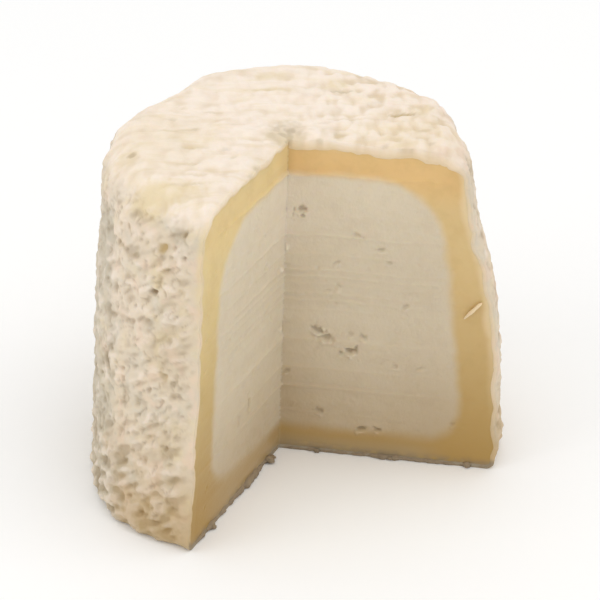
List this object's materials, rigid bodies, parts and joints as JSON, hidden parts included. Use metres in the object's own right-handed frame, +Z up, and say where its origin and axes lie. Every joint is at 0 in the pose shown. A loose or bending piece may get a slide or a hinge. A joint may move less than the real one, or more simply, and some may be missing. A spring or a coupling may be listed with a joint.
{
  "type": "soft ripened goat cheese, a small drum with a wedge cut out",
  "caption": "Small tapered drum of soft ripened goat cheese with a wrinkled pale rind; a wedge is cut out, showing the yellow ripened layer around white paste.",
  "frame": {"origin": "centre of the flat underside, on the drum's own axis", "axes": "+Z up along the drum's axis; the open wedge faces between +X and -Y, so the rind is unbroken towards -X and +Y"},
  "size_m": [0.0637, 0.0641, 0.0553],
  "materials": {
    "rind": "dry wrinkled cream-white rind with pits, straw-coloured patches and a few darker specks",
    "creamline": "smooth, slightly translucent straw-yellow cheese with a soft sheen, browner at the foot",
    "paste": "chalky, fine-grained ivory-white paste with small openings and faint knife marks"
  },
  "bodies": {
    "root": {"creamline": "creamline", "paste": "paste"}
  },
  "joints": []
}
